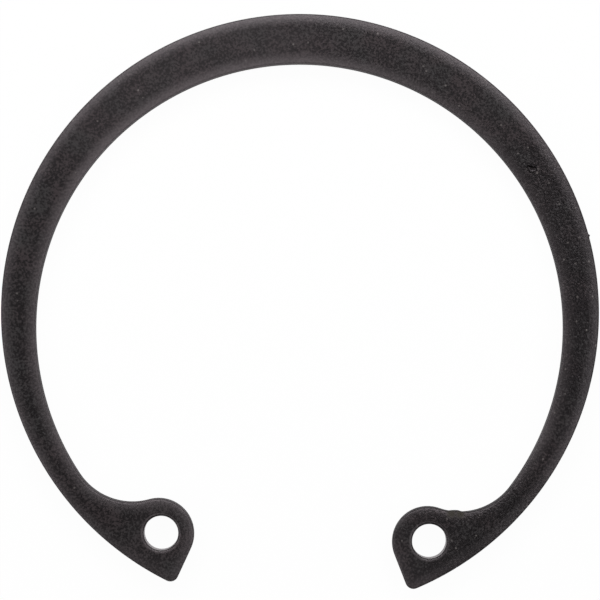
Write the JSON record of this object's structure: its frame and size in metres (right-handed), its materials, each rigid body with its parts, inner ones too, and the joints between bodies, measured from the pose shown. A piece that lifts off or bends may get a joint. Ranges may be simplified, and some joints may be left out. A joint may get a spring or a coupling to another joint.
{
  "type": "circlip retaining ring",
  "caption": "Internal retaining ring for a round bore: an open tapered ring of flat strip with inward lugs at the gap, each with a hole for pliers.",
  "frame": {"origin": "centre of the free ring's outer circle, on the plane of the burr side that the ring lies on", "axes": "+Z is the ring's axis, from the burr side to the rolled side; the gap between the lugs opens towards -Y; +X is to the right with the gap at the bottom and the rolled side in view"},
  "size_m": [0.0434, 0.0415, 0.0018],
  "materials": {
    "phosphated_steel": "dark phosphated and lightly oiled spring steel, fine matt grain with brighter worn edges"
  },
  "bodies": {
    "root": {"circlip": "phosphated_steel"}
  },
  "joints": []
}
